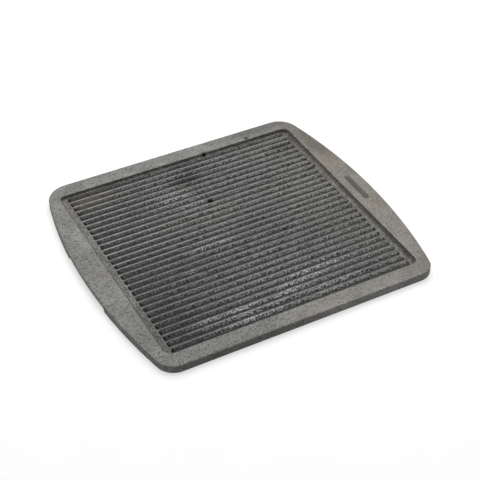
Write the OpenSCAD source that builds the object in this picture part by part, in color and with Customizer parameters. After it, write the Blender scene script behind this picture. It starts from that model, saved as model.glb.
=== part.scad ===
// Ribbed cast-iron press plate: one casting with two bowed grips.
// X runs along the ribs from grip to grip, Y from the front edge to the back edge, Z up.
// The origin is under the middle of the plate, on the surface it rests on.

/* [Plate] */
// Length over the two bowed grips
plate_length = 375; // [365:1:390]
// Depth from the front edge to the back edge
plate_depth = 342; // [334:1:350]
// Thickness at the rim
plate_thickness = 10; // [9.5:0.5:14]
// Radius of the bow at each grip
bow_radius = 686; // [600:1:900]
// Radius of the four outer corners
corner_radius = 24; // [14:1:28]

/* [Recess] */
// Length of the recess at the rim, along the ribs
recess_length = 316; // [312:1:320]
// Depth of the recess at the rim, across the ribs
recess_width = 302; // [302:0.5:308]
// Drop from the rim to the rib crests
recess_drop = 4.5; // [4.2:0.1:5]
// Corner radius of the recess at the rim
recess_corner = 9; // [7:0.5:12]
// Run of the sloping wall at each grip end
end_wall_run = 3; // [1:0.5:4]
// Run of the sloping wall at the front and the back
side_wall_run = 0.8; // [0.4:0.1:1]

/* [Ribs] */
// Distance from one rib crest to the next
rib_pitch = 10; // [9.5:0.1:10]
// Width of the flat crest of a rib
crest_width = 1.6; // [1.4:0.1:3]
// Depth of a groove below the crests
groove_depth = 2.6; // [1.5:0.1:3]
// Width of the flat bottom of a groove
groove_bottom = 1.6; // [1:0.1:2.4]
// Length of a groove
groove_length = 299; // [290:1:301]
// Radius of the upright ends of a groove, seen from above
groove_end_radius = 6; // [5.9:0.1:8]
// Distance of the grooves' middle from the plate's middle, towards the right grip
groove_shift = 0.7; // [0:0.1:1]
// Width of the one narrow groove, close to the middle
narrow_groove_width = 7; // [5:0.1:7.6]
// Distance of the narrow groove behind the middle of the plate
narrow_groove_y = 5.6; // [5:0.1:6]
// Full-width grooves behind the narrow one
grooves_behind = 14; // [1:1:14]
// Full-width grooves in front of the narrow one
grooves_in_front = 15; // [1:1:15]

/* [Grips] */
// Length of the finger notch under each grip
notch_length = 100; // [80:1:110]
// Height of the finger notch
notch_height = 4.7; // [4.4:0.1:5]
// How far a finger reaches in under the grip
notch_reach = 16; // [12:1:18]
// Rounding at the two inner corners of a finger notch
notch_corner = 8; // [4:1:10]
// Length of the blank pocket on the right grip
pocket_length = 52; // [30:1:60]
// Width of the blank pocket
pocket_width = 8; // [5:0.5:10]
// Depth of the blank pocket
pocket_depth = 0.6; // [0.3:0.1:1]
// Distance of the pocket from the middle of the plate
pocket_x = 171; // [168:0.5:173]

/* [Hidden] */

half_length = plate_length / 2;
half_depth = plate_depth / 2;
crest_z = plate_thickness - recess_drop;
groove_width = rib_pitch - crest_width;
// Step from the narrow groove to its neighbours, so that every crest has the same width
narrow_step = (narrow_groove_width + groove_width) / 2 + crest_width;
// Centre of the bow's circle, measured from the middle of the plate towards the other grip
bow_centre = bow_radius - half_length;
// Centre of an outer corner, which touches the long edge and the bow
corner_y = half_depth - corner_radius;
corner_x = sqrt(pow(bow_radius - corner_radius, 2) - pow(corner_y, 2)) - bow_centre;
// Tools reach this far past the faces they cut
over = 1;
bow_fn = 200;
corner_fn = 48;
wall_fn = 32;

// Outline of the plate: straight front and back, bowed ends, round corners
module outline() {
  difference() {
    intersection() {
      translate([-bow_centre, 0]) circle(r = bow_radius, $fn = bow_fn);
      translate([bow_centre, 0]) circle(r = bow_radius, $fn = bow_fn);
      square([2 * plate_length, plate_depth], center = true);
    }
    for (flip_x = [0, 1], flip_y = [0, 1])
      mirror([flip_x, 0]) mirror([0, flip_y]) corner_waste();
  }
}

// What the round corner takes off the sharp one at +X and +Y
module corner_waste() {
  reach = 1.5 * corner_radius;
  touch = bow_radius / (bow_radius - corner_radius);
  difference() {
    polygon([
      [corner_x, corner_y],
      [corner_x, corner_y + reach],
      [corner_x + reach, corner_y + reach],
      [touch * (corner_x + bow_centre) - bow_centre + over, touch * corner_y],
      [touch * (corner_x + bow_centre) - bow_centre, touch * corner_y]
    ]);
    translate([corner_x, corner_y]) circle(r = corner_radius, $fn = corner_fn);
  }
}

// Rectangle with round corners, centred on the plate
module round_rectangle(length, width, radius) {
  square([length - 2 * radius, width], center = true);
  square([length, width - 2 * radius], center = true);
  for (side_x = [-1, 1], side_y = [-1, 1])
    translate([side_x * (length / 2 - radius), side_y * (width / 2 - radius)])
      circle(r = radius, $fn = wall_fn);
}

// The recess inside the rim, with sloping walls
module recess() {
  sliver = 0.01;
  hull() {
    translate([0, 0, crest_z])
      linear_extrude(sliver)
        round_rectangle(recess_length - 2 * end_wall_run, recess_width - 2 * side_wall_run,
                        recess_corner - side_wall_run);
    translate([0, 0, plate_thickness])
      linear_extrude(over)
        round_rectangle(recess_length, recess_width, recess_corner);
  }
}

// One groove: sloping flanks, a narrow flat bottom and upright round ends
module groove(width) {
  slope = (width - groove_bottom) / 2 / groove_depth;
  top_width = width + 2 * slope * over;
  intersection() {
    rotate([90, 0, 90])
      translate([0, 0, -groove_length / 2 - over])
        linear_extrude(groove_length + 2 * over)
          polygon([
            [-groove_bottom / 2, -groove_depth],
            [groove_bottom / 2, -groove_depth],
            [top_width / 2, over],
            [-top_width / 2, over]
          ]);
    translate([0, 0, -groove_depth - over])
      linear_extrude(groove_depth + 3 * over) groove_ends();
  }
}

// Plan of a groove's ends, wider than any groove
module groove_ends() {
  straight = groove_length - 2 * groove_end_radius;
  square([straight, 2 * groove_end_radius], center = true);
  for (side = [-1, 1])
    translate([side * straight / 2, 0]) circle(r = groove_end_radius, $fn = corner_fn);
}

// All grooves, from the narrow one outwards
module grooves() {
  translate([groove_shift, 0, crest_z]) {
    translate([0, narrow_groove_y]) groove(narrow_groove_width);
    for (i = [0 : grooves_behind - 1])
      translate([0, narrow_groove_y + narrow_step + i * rib_pitch]) groove(groove_width);
    for (i = [0 : grooves_in_front - 1])
      translate([0, narrow_groove_y - narrow_step - i * rib_pitch]) groove(groove_width);
  }
}

// Finger notch under the edge of the right grip, open downwards and outwards
module finger_notch() {
  inner_x = half_length - notch_reach;
  translate([0, 0, -over])
    linear_extrude(notch_height + over) {
      translate([inner_x, -notch_length / 2 + notch_corner])
        square([notch_reach + over, notch_length - 2 * notch_corner]);
      translate([inner_x + notch_corner, -notch_length / 2])
        square([notch_reach - notch_corner + over, notch_length]);
      for (side = [-1, 1])
        translate([inner_x + notch_corner, side * (notch_length / 2 - notch_corner)])
          circle(r = notch_corner, $fn = wall_fn);
    }
}

// Blank pocket with round ends on the right grip
module pocket() {
  translate([pocket_x, 0, plate_thickness - pocket_depth])
    linear_extrude(pocket_depth + over) {
      square([pocket_width, pocket_length - pocket_width], center = true);
      for (side = [-1, 1])
        translate([0, side * (pocket_length - pocket_width) / 2])
          circle(d = pocket_width, $fn = wall_fn);
    }
}

// The whole casting
module cast_plate() {
  color("dimgray")
    difference() {
      linear_extrude(plate_thickness) outline();
      recess();
      grooves();
      for (flip = [0, 1]) mirror([flip, 0, 0]) finger_notch();
      pocket();
    }
}

cast_plate();
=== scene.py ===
"""Looks of the ribbed press plate: one iron casting on a pale floor in soft light."""
import math

import bpy
import numpy as np
from mathutils import Matrix, Vector, noise


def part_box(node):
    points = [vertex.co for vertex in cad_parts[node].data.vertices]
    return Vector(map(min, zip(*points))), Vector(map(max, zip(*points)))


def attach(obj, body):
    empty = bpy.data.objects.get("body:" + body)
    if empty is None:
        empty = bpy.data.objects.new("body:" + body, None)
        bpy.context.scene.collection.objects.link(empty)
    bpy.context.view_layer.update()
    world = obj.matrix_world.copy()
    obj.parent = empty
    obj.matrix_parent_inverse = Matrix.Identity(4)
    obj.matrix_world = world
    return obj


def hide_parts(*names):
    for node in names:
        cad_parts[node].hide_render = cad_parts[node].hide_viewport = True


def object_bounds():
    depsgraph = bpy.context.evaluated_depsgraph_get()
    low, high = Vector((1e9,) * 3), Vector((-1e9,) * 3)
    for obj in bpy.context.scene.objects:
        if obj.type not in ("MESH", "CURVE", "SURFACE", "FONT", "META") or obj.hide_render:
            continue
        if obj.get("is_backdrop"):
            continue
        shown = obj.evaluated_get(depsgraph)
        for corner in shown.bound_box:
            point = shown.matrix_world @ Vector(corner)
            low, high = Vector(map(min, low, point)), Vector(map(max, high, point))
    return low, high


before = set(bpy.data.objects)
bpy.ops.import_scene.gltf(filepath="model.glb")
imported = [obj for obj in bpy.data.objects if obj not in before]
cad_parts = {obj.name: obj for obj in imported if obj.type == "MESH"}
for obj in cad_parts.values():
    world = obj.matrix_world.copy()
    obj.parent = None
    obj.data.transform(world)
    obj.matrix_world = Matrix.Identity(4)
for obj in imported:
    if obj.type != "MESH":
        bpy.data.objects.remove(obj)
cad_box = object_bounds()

MM = 0.001
NODE = "cast_plate"

# ---------------------------------------------------------------- sizes of the casting, in mm
# The origin is the middle of the underside, so the high corner of the box gives the half sizes
HALF_LENGTH, HALF_DEPTH, THICKNESS = np.array(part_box(NODE)[1]) / MM

# Outline: bowed grips and four corners with slightly different radii, by the sides they join
BOW_RADIUS = 686
BOW_CENTRE = BOW_RADIUS - HALF_LENGTH
CORNER_RADII = {(1, 1): 26, (-1, 1): 30, (-1, -1): 22, (1, -1): 21}
TOP_EDGE = 0.9
BOTTOM_EDGE = 0.8

# Recess: its walls are hollow curves that end in a small round lip
RECESS_HALF_LENGTH = 158
RECESS_HALF_WIDTH = 151
RECESS_DROP = 4.5
CREST_Z = THICKNESS - RECESS_DROP
RECESS_CORNER = 9
END_WALL_RUN = 3.2
WALL_HOLLOW = 0.35
SIDE_WALL_RUN = 1.0
LIP = 0.5
WALL_TOP = THICKNESS - LIP
WALL_FOOT = (RECESS_HALF_LENGTH - END_WALL_RUN, RECESS_HALF_WIDTH - SIDE_WALL_RUN)
# Centre of a recess corner, about which the rings of the underside turn as well
TURN_X, TURN_Y = RECESS_HALF_LENGTH - RECESS_CORNER, RECESS_HALF_WIDTH - RECESS_CORNER

# Ribs and grooves
RIB_PITCH = 10
CREST_WIDTH = 1.6
GROOVE_DEPTH = 2.6
GROOVE_BOTTOM = 1.6
GROOVE_HALF_LENGTH = 149.5
GROOVE_SHIFT = 0.7
NARROW_WIDTH = 7
NARROW_Y = 5.6
GROOVES_BEHIND = 14
GROOVES_IN_FRONT = 15
SHOULDER_ROUND = 0.5
VALLEY_ROUND = 1.2
END_ROUND = 1.8
# Steepness of the groove ends, at the left end and at the right end
END_STEEPNESS = {-1: 3.0, 1: 1.2}

# Finger notches under the grips, and the blank pocket on one grip; a draft is a slope's width
NOTCH_HALF_LENGTH = 50
NOTCH_HEIGHT = 4.7
NOTCH_INNER_X = HALF_LENGTH - 16
NOTCH_CORNER = 8
NOTCH_DRAFT = 1.2
POCKET_X = 171
POCKET_HALF_LENGTH = 26
POCKET_HALF_WIDTH = 4
POCKET_DEPTH = 0.6
POCKET_DRAFT = 0.7

# Unevenness of the cast skin above a low height: size and height of the bumps, and shift of
# their pattern; the rim has only a share of the lumps
WAVES = ((34, 0.10, (0, 0, 0)), (9, 0.05, (0, 0, 0)))
LUMPS = ((4.2, 0.16, (0, 0, 0)), (2.4, 0.10, (7, 3, 1)))
RIM_LUMPS = 0.15
ROUGH_ABOVE = 0.5

# Mesh lines across each groove, as shares of its half width, and one on the crest beside it
ACROSS_GROOVE = (-0.98, -0.8, -0.55, -0.26, 0, 0.26, 0.55, 0.8, 0.98)
CREST_LINE = 0.5
# Mesh lines that bend round the end of each groove, as distances outwards from it
AT_END = (0.1, -0.25, -0.6, -1.1, -1.9)
# Straight mesh lines between the ends: number of cells, and gap to the last curved line
STRAIGHT_CELLS = 144
STRAIGHT_GAP = 0.5

# Rings of the mesh outside the field, as shares, degrees or distances
LEDGE_SHARES = (0.5, 0.9)
WALL_SHARES = (0, 0.12, 0.4, 0.7, 1)
LIP_ANGLES = (30, 60, 90)
RIM_FROM_RECESS = (3, 8, 8.7, 9.4, 12.4, 15.4, 16.1, 16.8, 21, 24, 26.8)
TOP_EDGE_ANGLES = (0, 22.5, 45, 67.5, 90)
SIDE_SHARES = (1 / 3, 2 / 3)
BOTTOM_EDGE_ANGLES = (0, 45, 90)
UNDER_SHARES = (0.12, 0.32, 0.54, 0.78)
# Ring just outside the inner walls of the notches, and its steps inwards across them
NOTCH_RING = (NOTCH_INNER_X + 0.9, HALF_DEPTH - 12)
NOTCH_STEPS = (0, 0.6, 1.2, 1.8)
# Rings of the flat underside: edges of the last ring that each edge spans, and half sizes
FLAT_RINGS = ((2, 167, 156), (3, 160, 154))


# ---------------------------------------------------------------- shapes in plan
def smooth_max(a, b, radius):
    """The larger of a and b, with the corner between them rounded."""
    near = np.maximum(radius - np.abs(a - b), 0) / radius
    return np.maximum(a, b) + near * near * radius / 4


def smooth_min(a, b, radius):
    """The smaller of a and b, with the corner between them rounded."""
    return -smooth_max(-a, -b, radius)


def smooth_step(value, start, end):
    """0 before start, 1 after end, and a smooth rise between them."""
    share = np.clip((value - start) / (end - start), 0, 1)
    return share * share * (3 - 2 * share)


def blend(first, second, share):
    """The first value or ring at share 0, the second at share 1."""
    return first + (second - first) * share


def groove_rows():
    """(centre, half width) of each groove, from the front one to the back one."""
    half = (RIB_PITCH - CREST_WIDTH) / 2
    step = NARROW_WIDTH / 2 + CREST_WIDTH + half
    rows = [(NARROW_Y, NARROW_WIDTH / 2)]
    rows += [(NARROW_Y + step + i * RIB_PITCH, half) for i in range(GROOVES_BEHIND)]
    rows += [(NARROW_Y - step - i * RIB_PITCH, half) for i in range(GROOVES_IN_FRONT)]
    return sorted(rows)


GROOVES = groove_rows()


def groove_depth(x, y):
    """Depth below the crests at a point of the ribbed field."""
    depth = np.zeros_like(x)
    steepness = np.where(x < 0, END_STEEPNESS[-1], END_STEEPNESS[1])
    for centre, half in GROOVES:
        past_straight = np.maximum(np.abs(x - GROOVE_SHIFT) - (GROOVE_HALF_LENGTH - END_ROUND), 0)
        from_end = half - np.hypot(past_straight * half / END_ROUND, y - centre)
        flank = (half - np.abs(y - centre)) / (half - GROOVE_BOTTOM / 2) * GROOVE_DEPTH
        ramp = smooth_max(np.minimum(flank, from_end * steepness), 0, SHOULDER_ROUND)
        depth = np.maximum(depth, smooth_min(ramp, GROOVE_DEPTH, VALLEY_ROUND))
    return depth


def notch_rise(x, y):
    """Height of the finger notch's ceiling above the underside, at a point in plan."""
    out_x = NOTCH_INNER_X + NOTCH_CORNER - np.abs(x)
    out_y = np.abs(y) - (NOTCH_HALF_LENGTH - NOTCH_CORNER)
    outside = np.hypot(np.maximum(out_x, 0), np.maximum(out_y, 0))
    inside = np.minimum(np.maximum(out_x, out_y), 0)
    distance = outside + inside - NOTCH_CORNER
    return NOTCH_HEIGHT * smooth_step(-distance, -NOTCH_DRAFT / 2, NOTCH_DRAFT / 2)


def pocket_drop(x, y):
    """Depth of the blank pocket at a point of the rim."""
    straight = POCKET_HALF_LENGTH - POCKET_HALF_WIDTH
    from_axis = np.hypot(x - POCKET_X, np.maximum(np.abs(y) - straight, 0))
    inward = POCKET_HALF_WIDTH - from_axis
    return POCKET_DEPTH * smooth_step(inward, 0, POCKET_DRAFT)


def corner_centre(side_x, side_y):
    """Centre of an outer corner, which touches the long edge and the bow."""
    radius = CORNER_RADII[side_x, side_y]
    y = HALF_DEPTH - radius
    x = math.sqrt((BOW_RADIUS - radius) ** 2 - y * y) - BOW_CENTRE
    return x, y


# ---------------------------------------------------------------- marks of casting and use
# Marks that the material reads at each vertex: 0 is none, 1 is the usual full strength
# The side mark and the wall mark are painted shade; the mark for pits also holds grime and painted
# shade at the groove ends
SHAPE_MARKS = ("recess", "depth", "wear", "side", "wall", "pocket", "pit_grime_and_shade")
STAIN_MARKS = ("season", "bare", "soot_and_shade", "warm", "pale", "rust", "scuff")

# Wear on the rib crests ends at this share of the groove depth and fades out over this length
# before the groove ends; between two Y it loses a share of its strength towards the front
WORN_SHARE = 0.08
WEAR_FADE = 3
FRONT_FADE = (20, -30)
FRONT_WEAR_LOSS = 0.75
# Round top edge: its wear, and the strength of the side mark, painted shade on the sides, where it
# meets the rim
EDGE_WEAR = 0.5
EDGE_SIDE = 0.7

# Painted shade on the recess wall, darker where less light falls: strength at its foot, and what the
# back wall and the end walls lose; the end walls lose more at the back and less at the front
WALL_SHADE_FOOT = 0.5
BACK_WALL_LOSS = 0.75
END_WALL_LOSS = 0.1
END_WALL_LOSS_CHANGE = 0.25
# Painted shade: the left wall is dark only close to its lip, as a thin dark line; the two corners
# beside it get darker upwards
LEFT_LIP_SHADE = 1.9
LEFT_LIP_POWER = 5
LEFT_CORNER_SHADE = 0.6

# Casting pits, dented and painted near black, partly grime and partly painted shade: x and y in mm,
# radius
PITS = (
    (4.2, 66, 4.2),
    (38, 150.6, 2.7),
    (100.9, 154.5, 3.2),
    (125, 86, 2.3),
    (89.8, 72.5, 3.0),
    (84.5, 83.6, 2.6),
    (151.3, 66.9, 2.4),
    (-163.8, -65.4, 2.0),
    (58, -22, 1.7),
    (-58, -47, 2.2),
)
PIT_DEPTH = 0.5

# Grime and painted shade in the groove ends, much stronger at the left ends: strength at the left end
# and at the right end, distance of its middle from the end, half length, half width as a share of the
# groove's, and the share of the groove depth below which it is full
GRIME_AND_SHADE = {-1: 1.0, 1: 0.15}
GRIME_SHADE_FROM_END = 1
GRIME_SHADE_LENGTH = 2.5
GRIME_SHADE_WIDTH = 0.7
GRIME_SHADE_SHARE = 0.3

# Pits and stains lie above this height, so that the underside has none
STAINED_ABOVE = 1

# Soft-edged stains, and some patches of painted shade and painted light: mark, middle x and y, half
# length and half width in mm, strength
STAINS = (
    ("season", -175, -20, 120, 400, 1.0),
    ("season", -110, -120, 70, 60, 0.9),
    ("bare", 160, 0, 90, 220, 1.0),
    ("bare", 40, -140, 70, 40, 0.6),
    ("bare", -30, 95, 50, 45, 0.6),
    ("bare", 60, 40, 40, 40, 0.3),
    ("bare", 0, 42, 80, 34, 0.7),
    ("soot_and_shade", -4, 117, 22, 12, 0.9),
    ("soot_and_shade", 10, 132, 14, 8, 0.6),
    ("soot_and_shade", 135, 121, 16, 8, 0.75),
    ("soot_and_shade", -125, -110, 50, 55, 0.3),
    ("soot_and_shade", -60, -161, 150, 12, 0.15),
    # Painted shade on the left part of the front side, which less light reaches
    ("soot_and_shade", -100, -172, 95, 4, 1.1),
    ("soot_and_shade", -165, -120, 40, 60, 0.35),
    ("soot_and_shade", -100, -165, 90, 16, 0.5),
    ("soot_and_shade", 175, 110, 14, 50, 1.15),
    ("soot_and_shade", 120, 165, 60, 9, 1.0),
    # Painted shade on the foot of the right recess wall and the ledge beside it, at the front and at
    # the back
    ("soot_and_shade", 154, -90, 4, 80, 0.35),
    ("soot_and_shade", 153, 120, 4, 80, 0.4),
    ("warm", 170, 0, 22, 260, 0.9),
    ("warm", 125, -161, 100, 16, 1.2),
    ("pale", -10, 161, 70, 12, 0.5),
    ("pale", 110, -161, 60, 12, 0.6),
    # Painted light on the right part of the front side
    ("pale", 125, -172, 70, 4, 2.6),
    ("pale", 168, -110, 18, 45, 0.4),
    ("pale", -163, 75, 10, 30, 0.4),
    ("pale", -164, 111, 4, 7, 0.8),
    ("pale", -163, 78, 4, 9, 0.8),
    ("rust", -125, 132, 24, 10, 0.5),
    ("rust", -151, 126, 3, 12, 0.4),
    ("rust", 169, 60, 8, 12, 0.45),
    ("rust", 163, 66, 3, 4, 0.6),
    ("rust", 176, -34, 7, 8, 0.4),
    ("rust", 175, 112, 12, 40, 0.25),
    ("rust", 168, -148, 11, 9, 0.4),
    ("rust", 175, -98, 5, 16, 0.3),
    ("scuff", -24, -6, 18, 7, 0.6),
    ("scuff", -47, -10, 14, 7, 0.5),
    ("scuff", -90, -122, 26, 8, 0.5),
    ("scuff", -56, -123, 30, 8, 0.7),
    ("scuff", -50, -138, 36, 8, 0.6),
    ("scuff", -12, -126, 16, 7, 0.6),
    ("scuff", 8, -117, 18, 9, 0.85),
    ("scuff", 39, -105, 20, 10, 0.8),
    ("scuff", 70, -98, 18, 8, 0.5),
    ("scuff", 60, -130, 34, 8, 0.35),
    ("scuff", -33, 93, 18, 10, 0.45),
    ("scuff", -20, 66, 16, 8, 0.35),
    ("scuff", -73, -43, 8, 5, 0.5),
    ("scuff", -10, -90, 95, 60, 0.16),
)


# ---------------------------------------------------------------- the mesh of the casting
def field_lines():
    """X and Y of the mesh lines of the ribbed field."""
    end = [GROOVE_HALF_LENGTH + step for step in reversed((CREST_LINE, *AT_END))]
    straight = GROOVE_HALF_LENGTH - END_ROUND + AT_END[-1] - STRAIGHT_GAP
    middle = np.linspace(-straight, straight, STRAIGHT_CELLS + 1)
    lines_x = np.array([-x for x in reversed(end)] + list(middle) + end) + GROOVE_SHIFT
    lines_y = []
    for centre, half in GROOVES:
        lines_y.append(centre - half - CREST_LINE)
        lines_y += [centre + half * share for share in ACROSS_GROOVE]
        lines_y.append(centre + half + CREST_LINE)
    lines_y.insert(0, -lines_y[-1])
    return lines_x, np.array(lines_y)


def field_grid(lines_x, lines_y):
    """Points of the ribbed field; the lines near the groove ends curve round them."""
    x, y = np.meshgrid(lines_x, lines_y, indexing="ij")
    rows_each = len(ACROSS_GROOVE) + 2
    pull = np.zeros(len(lines_y))
    for k, (centre, half) in enumerate(GROOVES):
        rows = slice(1 + k * rows_each, 1 + (k + 1) * rows_each)
        across = np.minimum(np.abs(lines_y[rows] - centre) / half, 1)
        pull[rows] = END_ROUND * (1 - np.sqrt(1 - across**2))
    pull[0] = pull[1]
    # The outermost line at each end stays straight
    bent = slice(1, 1 + len(AT_END))
    x[bent] += pull
    x[::-1][bent] -= pull
    return x, y


class Columns:
    """The loop of vertices round the field, which every ring outside it repeats."""

    def __init__(self, lines_x, lines_y):
        last_x, last_y = len(lines_x) - 1, len(lines_y) - 1
        loop = [(last_x, j) for j in range(last_y)]
        loop += [(i, last_y) for i in range(last_x, 0, -1)]
        loop += [(0, j) for j in range(last_y, 0, -1)]
        loop += [(i, 0) for i in range(last_x)]
        self.count = len(loop)
        self.i, self.j = np.array(loop).T
        x, y = lines_x[self.i], lines_y[self.j]
        self.share_x = np.clip(x / TURN_X, -1, 1)
        self.share_y = np.clip(y / TURN_Y, -1, 1)
        self.side_x = np.where(x > 0, 1, -1)
        self.side_y = np.where(y > 0, 1, -1)
        # 0 along the two grip ends, 1 along the front and the back, and between them in a corner
        self.turn = np.where(np.abs(self.share_x) == 1, 0.0, 1.0)
        in_corner = (np.abs(self.share_x) == 1) & (np.abs(self.share_y) == 1)
        for side_x in (-1, 1):
            for side_y in (-1, 1):
                self.spread(in_corner & (self.side_x == side_x) & (self.side_y == side_y))

    def spread(self, chosen):
        """Gives a corner's columns even turns from its X side, 0, to its Y side, 1."""
        index = np.flatnonzero(chosen)
        half = self.count / 2
        if index[-1] - index[0] > half:
            index = np.concatenate([index[index > half], index[index < half]])
        turns = np.linspace(0, 1, len(index))
        starts_on_x_side = self.turn[index[0] - 1] == 0
        self.turn[index] = turns if starts_on_x_side else turns[::-1]

    def rectangle(self, half_x, half_y):
        """Ring with straight sides and round corners about the centres of the recess corners."""
        angle = self.turn * math.pi / 2
        x = self.share_x * TURN_X + self.side_x * (half_x - TURN_X) * np.cos(angle)
        y = self.share_y * TURN_Y + self.side_y * (half_y - TURN_Y) * np.sin(angle)
        return np.column_stack([x, y])

    def outline(self, inset):
        """Ring that follows the bowed outline, a little inside it."""
        ring = np.zeros((self.count, 2))
        for (side_x, side_y), radius in CORNER_RADII.items():
            here = (self.side_x == side_x) & (self.side_y == side_y)
            centre_x, centre_y = corner_centre(side_x, side_y)
            first = math.atan2(centre_y, centre_x + BOW_CENTRE)
            angle = first + (math.pi / 2 - first) * self.turn
            x = centre_x + (radius - inset) * np.cos(angle)
            y = centre_y + (radius - inset) * np.sin(angle)
            bow_y = np.abs(self.share_y) * (centre_y + (radius - inset) * math.sin(first))
            bow_x = np.sqrt((BOW_RADIUS - inset) ** 2 - bow_y**2) - BOW_CENTRE
            on_bow = (self.turn == 0) & (np.abs(self.share_y) < 1)
            on_edge = (self.turn == 1) & (np.abs(self.share_x) < 1)
            x = np.where(on_bow, bow_x, np.where(on_edge, np.abs(self.share_x) * centre_x, x))
            y = np.where(on_bow, bow_y, np.where(on_edge, HALF_DEPTH - inset, y))
            ring[here, 0] = side_x * x[here]
            ring[here, 1] = side_y * y[here]
        return ring


class Casting:
    """Collects the vertices, faces and surface marks of the plate, in mm."""

    def __init__(self):
        self.points = []
        self.faces = []
        self.marks = {name: [] for name in SHAPE_MARKS}
        self.count = 0

    def add(self, plan, z, **marks):
        """Adds points, with the marks that aren't 0, and returns their indices."""
        total = len(plan)
        self.points.append(np.column_stack([plan, np.broadcast_to(z, total)]))
        for name in SHAPE_MARKS:
            self.marks[name].append(np.broadcast_to(marks.get(name, 0.0), total).astype(float))
        self.count += total
        return np.arange(self.count - total, self.count)

    def band(self, inner, outer):
        """Quads between two rings of the same length."""
        inner_next, outer_next = np.roll(inner, -1), np.roll(outer, -1)
        self.faces += np.column_stack([inner, outer, outer_next, inner_next]).tolist()

    def grid(self, index, upward=True):
        """Quads between the points of a grid, facing up or down."""
        corners = [index[:-1, :-1], index[1:, :-1], index[1:, 1:], index[:-1, 1:]]
        if not upward:
            corners[1:] = reversed(corners[1:])
        self.faces += np.column_stack([corner.ravel() for corner in corners]).tolist()

    def thin_out(self, fine, coarse, step):
        """Faces between a ring and one with fewer points, each over step edges of the fine one."""
        total = len(coarse)
        for k in range(total):
            edge = [fine[(k * step + i) % len(fine)] for i in range(step + 1)]
            self.faces.append(edge[::-1] + [coarse[k], coarse[(k + 1) % total]])


# Each ring below is its points in plan, its height or heights, and its marks
def recess_rings(columns, edge_of_field):
    """Rings over the ledge, up the hollow wall and round the lip."""
    foot_x, foot_y = WALL_FOOT
    foot = columns.rectangle(foot_x, foot_y)
    rings = [(blend(edge_of_field, foot, share), CREST_Z, dict(recess=1)) for share in LEDGE_SHARES]
    at_left = (columns.side_x < 0) * (1 - columns.turn)
    left_corner = (columns.side_x < 0) * np.sin(math.pi * columns.turn)
    at_back = columns.turn * (columns.side_y > 0)
    for share in WALL_SHARES:
        plan = columns.rectangle(foot_x + END_WALL_RUN * share, foot_y + SIDE_WALL_RUN * share)
        hollow = 1 - math.sqrt(1 - share * share)
        height = blend(CREST_Z, WALL_TOP, blend(share, hollow, WALL_HOLLOW))
        # Painted shade: the wall mark darkens the wall where less light falls on it
        shade = blend(WALL_SHADE_FOOT, 1, share) * (1 - BACK_WALL_LOSS * at_back)
        shade -= (1 - columns.turn) * (END_WALL_LOSS + END_WALL_LOSS_CHANGE * columns.share_y)
        shade = blend(shade, share**LEFT_LIP_POWER * LEFT_LIP_SHADE, at_left)
        shade += LEFT_CORNER_SHADE * share * left_corner
        rings.append((plan, height, dict(recess=1 - share / 2, wall=shade)))
    for angle in np.radians(LIP_ANGLES):
        out = LIP * (1 - math.cos(angle))
        plan = columns.rectangle(RECESS_HALF_LENGTH + out, RECESS_HALF_WIDTH + out)
        wear = math.sin(2 * angle) * (1 - at_left)
        # Painted shade along the left lip and round the two corners beside it
        shade = (LEFT_LIP_SHADE * at_left + LEFT_CORNER_SHADE * left_corner) * math.cos(angle)
        rings.append((plan, WALL_TOP + LIP * math.sin(angle), dict(wear=wear, wall=shade)))
    return rings


def rim_rings(columns, lip):
    """Rings of the flat rim, which are close together at the long edges of the pocket."""
    rings = []
    rim_width = HALF_LENGTH - TOP_EDGE - RECESS_HALF_LENGTH - LIP
    for from_recess in RIM_FROM_RECESS:
        plan = blend(lip, columns.outline(TOP_EDGE), from_recess / rim_width)
        drop = pocket_drop(plan[:, 0], plan[:, 1])
        rings.append((plan, THICKNESS - drop, dict(pocket=drop / POCKET_DEPTH)))
    return rings


def side_rings(columns):
    """Rings down the round top edge, the side and the round bottom edge."""
    rings = []
    side_top = THICKNESS - TOP_EDGE
    for angle in np.radians(TOP_EDGE_ANGLES):
        plan = columns.outline(TOP_EDGE * (1 - math.sin(angle)))
        # The side mark is painted shade: the sides are darker than the rim because less light falls on
        # them
        marks = dict(wear=EDGE_WEAR * math.sin(2 * angle), side=blend(EDGE_SIDE, 1, math.sin(angle)))
        rings.append((plan, THICKNESS - TOP_EDGE * (1 - math.cos(angle)), marks))
    outline = columns.outline(0)
    foot_z = notch_rise(outline[:, 0], outline[:, 1])
    for share in SIDE_SHARES:
        rings.append((outline, blend(side_top, foot_z + BOTTOM_EDGE, share), dict(side=1)))
    for angle in np.radians(BOTTOM_EDGE_ANGLES):
        plan = columns.outline(BOTTOM_EDGE * (1 - math.cos(angle)))
        rings.append((plan, foot_z + BOTTOM_EDGE * (1 - math.sin(angle)), dict(side=1)))
    return rings


def notch_rings(columns, foot):
    """Rings of the underside's outer part, which are close together at the notches' inner walls."""
    ring_x, ring_y = NOTCH_RING
    plans = [blend(foot, columns.rectangle(ring_x, ring_y), share) for share in UNDER_SHARES]
    plans += [columns.rectangle(ring_x - step, ring_y - step) for step in NOTCH_STEPS]
    return [(plan, notch_rise(plan[:, 0], plan[:, 1]), {}) for plan in plans]


def add_field(body, grid_x, grid_y):
    """Adds the ribbed field and returns the grid of its vertices."""
    x, y = grid_x.ravel(), grid_y.ravel()
    depth = groove_depth(x, y)
    shares = depth / GROOVE_DEPTH
    past_straight = np.abs(x - GROOVE_SHIFT) - (GROOVE_HALF_LENGTH - WEAR_FADE)
    wear = (1 - smooth_step(shares, 0, WORN_SHARE)) * (1 - smooth_step(past_straight, 0, WEAR_FADE))
    wear *= 1 - FRONT_WEAR_LOSS * smooth_step(y, *FRONT_FADE)
    field = body.add(np.column_stack([x, y]), CREST_Z - depth, recess=1, depth=shares, wear=wear)
    field = field.reshape(grid_x.shape)
    body.grid(field)
    return field


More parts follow.
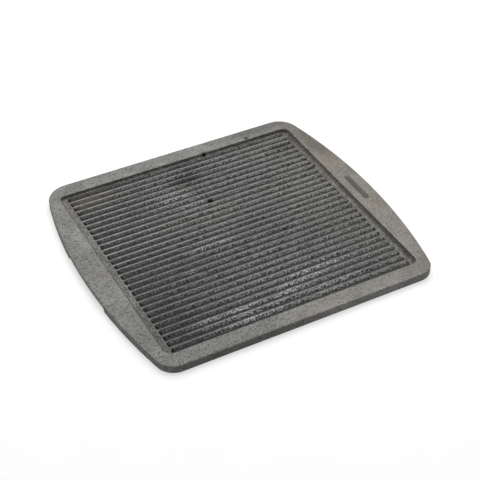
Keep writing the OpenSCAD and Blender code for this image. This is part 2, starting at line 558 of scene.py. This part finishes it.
def add_flat_underside(body, columns, ring, lines_x, lines_y):
    """Closes the underside inside the last ring with a coarser flat grid."""
    total_step = 1
    for step, half_x, half_y in FLAT_RINGS:
        total_step *= step
        last, ring = ring, body.add(columns.rectangle(half_x, half_y)[::total_step], 0)
        body.thin_out(last, ring, step)
    grid_x, grid_y = np.meshgrid(lines_x[::total_step], lines_y[::total_step], indexing="ij")
    under = body.add(np.column_stack([grid_x.ravel(), grid_y.ravel()]), 0).reshape(grid_x.shape)
    body.band(ring, under[columns.i[::total_step] // total_step, columns.j[::total_step] // total_step])
    body.grid(under, upward=False)


def build_casting():
    """The whole casting as one closed mesh: the field, then rings outwards, down and under it."""
    body = Casting()
    lines_x, lines_y = field_lines()
    columns = Columns(lines_x, lines_y)
    grid_x, grid_y = field_grid(lines_x, lines_y)
    ring = add_field(body, grid_x, grid_y)[columns.i, columns.j]
    edge_of_field = np.column_stack([grid_x[columns.i, columns.j], grid_y[columns.i, columns.j]])
    rings = recess_rings(columns, edge_of_field)
    rings += rim_rings(columns, rings[-1][0])
    rings += side_rings(columns)
    rings += notch_rings(columns, rings[-1][0])
    for plan, height, marks in rings:
        last, ring = ring, body.add(plan, height, **marks)
        body.band(last, ring)
    add_flat_underside(body, columns, ring, lines_x, lines_y)
    return body


def bumps(spot, sizes):
    """Height of bumps of several sizes at a spot."""
    return sum(noise.noise(spot / size + Vector(shift)) * height for size, height, shift in sizes)


def roughen(points, marks):
    """Unevenness of a sand casting: long waves all over and coarse lumps in the recess."""
    moved = points.copy()
    for k in np.flatnonzero(points[:, 2] > ROUGH_ABOVE):
        spot = Vector(points[k])
        lumps = bumps(spot, LUMPS) * blend(RIM_LUMPS, 1, marks["recess"][k])
        rise = min(bumps(spot, WAVES) + lumps, THICKNESS - points[k, 2])
        moved[k, 2] += rise - marks["pit_grime_and_shade"][k] * PIT_DEPTH
    return moved


def pit_grime_and_shade_marks(points, shares):
    """Strength of the casting pits and of the grime and painted shade at the groove ends, at each
    point.
    """
    x, y = points[:, 0], points[:, 1]
    dark_spots = np.zeros(len(points))
    for pit_x, pit_y, radius in PITS:
        off = np.hypot(x - pit_x, y - pit_y) / radius
        dark_spots = np.maximum(dark_spots, np.exp(-off**4) * (points[:, 2] > STAINED_ABOVE))
    for side, strength in GRIME_AND_SHADE.items():
        for centre, half in GROOVES:
            tip = side * (GROOVE_HALF_LENGTH - GRIME_SHADE_FROM_END) + GROOVE_SHIFT
            off = np.hypot((x - tip) / GRIME_SHADE_LENGTH, (y - centre) / (half * GRIME_SHADE_WIDTH))
            dark_spots = np.maximum(dark_spots, strength * np.exp(-off**4) * smooth_step(shares, 0, GRIME_SHADE_SHARE))
    return dark_spots


def stain_marks(points):
    """Strength of each kind of stain at each point; the underside has none."""
    marks = {name: np.zeros(len(points)) for name in STAIN_MARKS}
    on_top = points[:, 2] > STAINED_ABOVE
    for name, x, y, half_length, half_width, strength in STAINS:
        off = ((points[:, 0] - x) / half_length) ** 2 + ((points[:, 1] - y) / half_width) ** 2
        marks[name] = np.maximum(marks[name], strength * np.exp(-off) * on_top)
    return marks


def make_object(body):
    """Turns the collected casting into a Blender object in metres."""
    points = np.concatenate(body.points)
    marks = {name: np.concatenate(values) for name, values in body.marks.items()}
    marks.update(stain_marks(points))
    marks["pit_grime_and_shade"] = pit_grime_and_shade_marks(points, marks["depth"])
    points = roughen(points, marks)
    mesh = bpy.data.meshes.new("press_plate")
    mesh.from_pydata((points * MM).tolist(), [], body.faces)
    mesh.polygons.foreach_set("use_smooth", [True] * len(mesh.polygons))
    for name, values in marks.items():
        mesh.attributes.new(name, "FLOAT", "POINT").data.foreach_set("value", values)
    mesh.validate()
    piece = bpy.data.objects.new("press_plate", mesh)
    bpy.context.scene.collection.objects.link(piece)
    return piece


# ---------------------------------------------------------------- material
IRON = (0.166, 0.162, 0.152)
WARM_IRON = (0.166, 0.151, 0.125)
PALE_IRON = (0.190, 0.188, 0.178)
FLANK = (0.100, 0.100, 0.097)
SEASONED_FLANK = (0.055, 0.0555, 0.0545)
BARE_FLANK = (0.130, 0.127, 0.120)
# Near black: soot in the pocket, and soot with painted shade at the groove bottoms
SOOT_AND_SHADE = (0.012, 0.0122, 0.0122)
RUST = (0.165, 0.120, 0.075)
SCUFF = (0.275, 0.290, 0.290)
WORN = (0.345, 0.340, 0.325)


class Material:
    """A few short ways to write a node tree."""

    def __init__(self, name):
        self.material = bpy.data.materials.new(name)
        self.material.use_nodes = True
        self.tree = self.material.node_tree
        self.shader = self.tree.nodes["Principled BSDF"]

    def node(self, kind, **settings):
        """A new node with these settings."""
        made = self.tree.nodes.new(kind)
        for name, value in settings.items():
            setattr(made, name, value)
        return made

    def link(self, output, socket):
        """Joins an output to a socket, or sets the socket to a number or a colour."""
        if hasattr(output, "is_output"):
            self.tree.links.new(output, socket)
        else:
            socket.default_value = output

    def mark(self, name):
        """A mark of the mesh's vertices."""
        return self.node("ShaderNodeAttribute", attribute_name=name).outputs["Fac"]

    def noise(self, size_mm, detail=3.0, roughness=0.55, place=(0, 0, 0)):
        """Noise with features of about this size, from 0 to 1."""
        where = self.node("ShaderNodeTexCoord").outputs["Object"]
        moved = self.node("ShaderNodeMapping")
        moved.inputs["Location"].default_value = place
        self.link(where, moved.inputs["Vector"])
        made = self.node("ShaderNodeTexNoise")
        self.link(moved.outputs["Vector"], made.inputs["Vector"])
        made.inputs["Scale"].default_value = 1 / (size_mm * MM)
        made.inputs["Detail"].default_value = detail
        made.inputs["Roughness"].default_value = roughness
        return made.outputs["Fac"]

    def remap(self, value, start, end, low=0.0, high=1.0, smooth=True):
        """Carries the range from start to end over to low to high, and holds what lies outside."""
        kind = "SMOOTHSTEP" if smooth else "LINEAR"
        made = self.node("ShaderNodeMapRange", interpolation_type=kind)
        self.link(value, made.inputs["Value"])
        for name, number in (("From Min", start), ("From Max", end), ("To Min", low), ("To Max", high)):
            made.inputs[name].default_value = number
        return made.outputs["Result"]

    def math(self, operation, first, second):
        """The result of a maths operation on two numbers or outputs."""
        made = self.node("ShaderNodeMath", operation=operation)
        self.link(first, made.inputs[0])
        self.link(second, made.inputs[1])
        return made.outputs[0]

    def blend(self, share, first, second):
        """Mix of two numbers or outputs."""
        made = self.node("ShaderNodeMix", data_type="FLOAT")
        for value, socket in ((share, "Factor"), (first, "A"), (second, "B")):
            self.link(value, made.inputs[socket])
        return made.outputs["Result"]

    def scale(self, colour, factor):
        """The colour times a number or an output."""
        made = self.node("ShaderNodeVectorMath", operation="SCALE")
        self.link(colour, made.inputs[0])
        self.link(factor, made.inputs["Scale"])
        return made.outputs["Vector"]

    def mix(self, share, first, second):
        """Colour mix; a colour is an output or three numbers."""
        made = self.node("ShaderNodeMix", data_type="RGBA")
        self.link(share, made.inputs["Factor"])
        for colour, socket in ((first, made.inputs["A"]), (second, made.inputs["B"])):
            self.link(colour if hasattr(colour, "is_output") else (*colour, 1), socket)
        return made.outputs["Result"]


class CastIron(Material):
    """Bare grey iron: speckled on the rim, darker and coarser in the ribbed recess."""

    def __init__(self):
        super().__init__("cast_iron")
        self.marks = {name: self.mark(name) for name in SHAPE_MARKS + STAIN_MARKS}
        # Patterns: clouds, ragged edges for the stains, and three sizes of grain
        self.clouds = self.noise(24, detail=3, place=(0.04, 0.02, 0))
        self.ragged = self.noise(7, detail=4, roughness=0.65, place=(0.01, 0.05, 0.02))
        self.grit = self.noise(1.9, detail=3, roughness=0.6, place=(0.03, 0.01, 0.02))
        self.specks = self.noise(3.4, detail=2, roughness=0.6, place=(0.02, 0.07, 0.02))
        self.fine = self.noise(1.5, detail=2, roughness=0.7, place=(0.08, 0.03, 0.02))
        rim = self.rim()
        self.set_surface(self.finish(self.mix(self.marks["recess"], rim, self.inside(rim))))
        self.set_bump()

    def ragged_stain(self, name):
        """A stain with a ragged edge."""
        return self.math("MULTIPLY", self.marks[name], self.remap(self.ragged, 0.3, 0.7, 0.4, 1.5))

    def rim(self):
        """Colour of the rim: warm to the right, pale in places, with dark specks and fine grain."""
        colour = self.mix(self.ragged_stain("warm"), IRON, WARM_IRON)
        colour = self.mix(self.ragged_stain("pale"), colour, PALE_IRON)
        colour = self.scale(colour, self.remap(self.marks["soot_and_shade"], 0, 1, 1, 0.62))
        colour = self.scale(colour, self.remap(self.clouds, 0.3, 0.7, 0.84, 1.16))
        cold_specks = self.remap(self.specks, 0.32, 0.54, 0.56, 1.06)
        warm_specks = self.remap(self.specks, 0.32, 0.54, 0.76, 1.03)
        colour = self.scale(colour, self.blend(self.marks["warm"], cold_specks, warm_specks))
        return self.scale(colour, self.remap(self.fine, 0.35, 0.65, 0.62, 1.38))

    def inside(self, rim):
        """Colour of the recess: iron like the rim on the crests, dark flanks, bottoms darkened by soot
        and painted shade, grit.
        """
        depth, season, bare = (self.marks[name] for name in ("depth", "season", "bare"))
        flank = self.mix(bare, self.mix(season, FLANK, SEASONED_FLANK), BARE_FLANK)
        under_crest = self.remap(depth, 0.1, 0.5, 0.5, 1)
        flank = self.scale(flank, self.blend(season, 1.0, under_crest))
        flank = self.mix(self.remap(depth, 0, 0.08), self.scale(rim, 0.76), flank)
        speckle = self.blend(0.5, self.grit, self.fine)
        scuffed = self.math("MULTIPLY", self.marks["scuff"], self.remap(speckle, 0.44, 0.58, 0.0, 1.8))
        flank = self.mix(scuffed, flank, SCUFF)
        # Soot and painted shade: the deeper in the groove, the nearer to black
        ragged_depth = self.math("SUBTRACT", depth, self.remap(self.grit, 0.35, 0.65, -0.05, 0.1))
        less_when_bare = self.remap(bare, 0, 1, 1, 0.88)
        sooted_and_shaded = self.math("MULTIPLY", self.remap(ragged_depth, 0.15, 0.9), less_when_bare)
        colour = self.mix(sooted_and_shaded, flank, SOOT_AND_SHADE)
        grains = self.remap(self.grit, 0.38, 0.62, 0.0, 2.6)
        smooth_when_seasoned = self.remap(season, 0, 1, 1, 0.9)
        rough = self.math("MULTIPLY", self.remap(depth, 0, 0.25, 0.4, 1), smooth_when_seasoned)
        colour = self.scale(colour, self.blend(rough, 1.0, grains))
        return self.scale(colour, self.remap(self.ragged_stain("soot_and_shade"), 0, 1, 1, 0.35))

    def finish(self, colour):
        """Adds rust, painted shade on the sides and the recess wall, soot in the pocket, dark pits and
        groove ends that are partly painted shade, and light worn edges.
        """
        marks = self.marks
        colour = self.mix(self.math("MULTIPLY", self.ragged_stain("rust"), 0.6), colour, RUST)
        # Painted shade on the sides
        colour = self.scale(colour, self.remap(marks["side"], 0, 1, 1.0, 0.7, smooth=False))
        # Painted shade on the recess wall
        colour = self.scale(colour, self.remap(marks["wall"], 0, 2, 1.0, 0.0, smooth=False))
        colour = self.mix(self.math("MULTIPLY", marks["pocket"], 0.7), colour, SOOT_AND_SHADE)
        # Pits and groove ends near black: grime, and painted shade in these hollows
        colour = self.scale(colour, self.remap(marks["pit_grime_and_shade"], 0, 1, 1.0, 0.06, smooth=False))
        worn = self.math("MULTIPLY", marks["wear"], self.remap(marks["season"], 0, 1, 0.43, 1.0))
        worn = self.math("MULTIPLY", worn, self.remap(self.specks, 0.35, 0.6, 0.4, 1.2))
        return self.mix(worn, colour, WORN)

    def set_surface(self, colour):
        """Colour and shine; pits, groove ends and the darkest stains in the recess are dull."""
        sockets = self.shader.inputs
        self.link(colour, sockets["Base Color"])
        sockets["Metallic"].default_value = 0.25
        in_recess = self.math("MULTIPLY", self.marks["recess"], 0.6)
        dark_in_recess = self.math("MULTIPLY", self.ragged_stain("soot_and_shade"), in_recess)
        dull = self.math("MAXIMUM", self.marks["pit_grime_and_shade"], dark_in_recess)
        self.link(self.remap(dull, 0, 1, 0.5, 0.02, smooth=False), sockets["Specular IOR Level"])
        self.link(self.remap(self.grit, 0.2, 0.8, 0.5, 0.8), sockets["Roughness"])

    def set_bump(self):
        """Sand-cast skin: grains on all of it, and larger lumps in the recess."""
        lumps = self.math("MULTIPLY", self.math("ADD", self.marks["recess"], 0.25), self.grit)
        grains = self.math("MULTIPLY", self.fine, 0.3)
        skin = self.math("ADD", grains, self.math("MULTIPLY", self.specks, 0.3))
        bump = self.node("ShaderNodeBump")
        bump.inputs["Strength"].default_value = 1.0
        bump.inputs["Distance"].default_value = 1.0 * MM
        self.link(self.math("ADD", skin, lumps), bump.inputs["Height"])
        self.link(bump.outputs["Normal"], self.shader.inputs["Normal"])


def floor_paper():
    """Plain white paper with faint fibres, which glows a little so that it stays white."""
    paper = Material("floor_paper")
    fibres = paper.noise(60, detail=2)
    tone = paper.mix(fibres, (0.37, 0.37, 0.37), (0.39, 0.39, 0.39))
    paper.link(tone, paper.shader.inputs["Base Color"])
    paper.shader.inputs["Roughness"].default_value = 0.9
    paper.shader.inputs["Specular IOR Level"].default_value = 0.1
    paper.shader.inputs["Emission Color"].default_value = (1, 1, 1, 1)
    paper.shader.inputs["Emission Strength"].default_value = 0.58
    return paper.material


# ---------------------------------------------------------------- floor, light and camera
FLOOR_SIZE = 6.0
# Place in metres, angles in degrees, focal length in mm
CAMERA_PLACE = (-0.5047, -0.9556, 0.8948)
CAMERA_HEADING = 28.28
CAMERA_DOWN = 39.858
CAMERA_ROLL = 0.115
LENS = 89.66


def make_floor():
    """A large sheet of white paper."""
    bpy.ops.mesh.primitive_plane_add(size=FLOOR_SIZE)
    floor = bpy.context.object
    floor.name = "floor"
    floor.data.materials.append(floor_paper())
    floor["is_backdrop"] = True


def make_light(name, place, size, power):
    """A square soft light that points at the plate's middle."""
    light = bpy.data.lights.new(name, "AREA")
    light.shape = "SQUARE"
    light.size = size
    light.energy = power
    lamp = bpy.data.objects.new(name, light)
    bpy.context.scene.collection.objects.link(lamp)
    lamp.location = place
    lamp.rotation_euler = Vector(place).to_track_quat("Z", "Y").to_euler()


def make_world(strength):
    """Even white light from all round."""
    world = bpy.data.worlds.new("studio")
    world.use_nodes = True
    background = world.node_tree.nodes["Background"]
    background.inputs["Color"].default_value = (1, 1, 1, 1)
    background.inputs["Strength"].default_value = strength
    bpy.context.scene.world = world


def make_camera():
    """The camera, which looks down at the plate from the front left."""
    camera = bpy.data.objects.new("camera", bpy.data.cameras.new("camera"))
    camera.data.lens = LENS
    heading = Matrix.Rotation(-math.radians(CAMERA_HEADING), 4, "Z")
    pitch = Matrix.Rotation(math.radians(90 - CAMERA_DOWN), 4, "X")
    roll = Matrix.Rotation(math.radians(CAMERA_ROLL), 4, "Z")
    camera.matrix_world = Matrix.Translation(CAMERA_PLACE) @ heading @ pitch @ roll
    bpy.context.scene.collection.objects.link(camera)
    bpy.context.scene.camera = camera


make_floor()
make_world(strength=0.25)
make_light("softbox", place=(0.45, 0.85, 1.9), size=1.9, power=58)
make_light("left_fill", place=(-1.5, 0.2, 0.8), size=1.0, power=1.5)
make_light("side_fill", place=(1.6, -0.6, 0.8), size=1.0, power=4)
make_camera()
bpy.context.scene.view_settings.view_transform = "Standard"

plate = make_object(build_casting())
plate.data.materials.append(CastIron().material)
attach(plate, "root")
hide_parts(NODE)

boxes = {"cad": cad_box, "visual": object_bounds()}
{name: [list(low), list(high)] for name, (low, high) in boxes.items()}
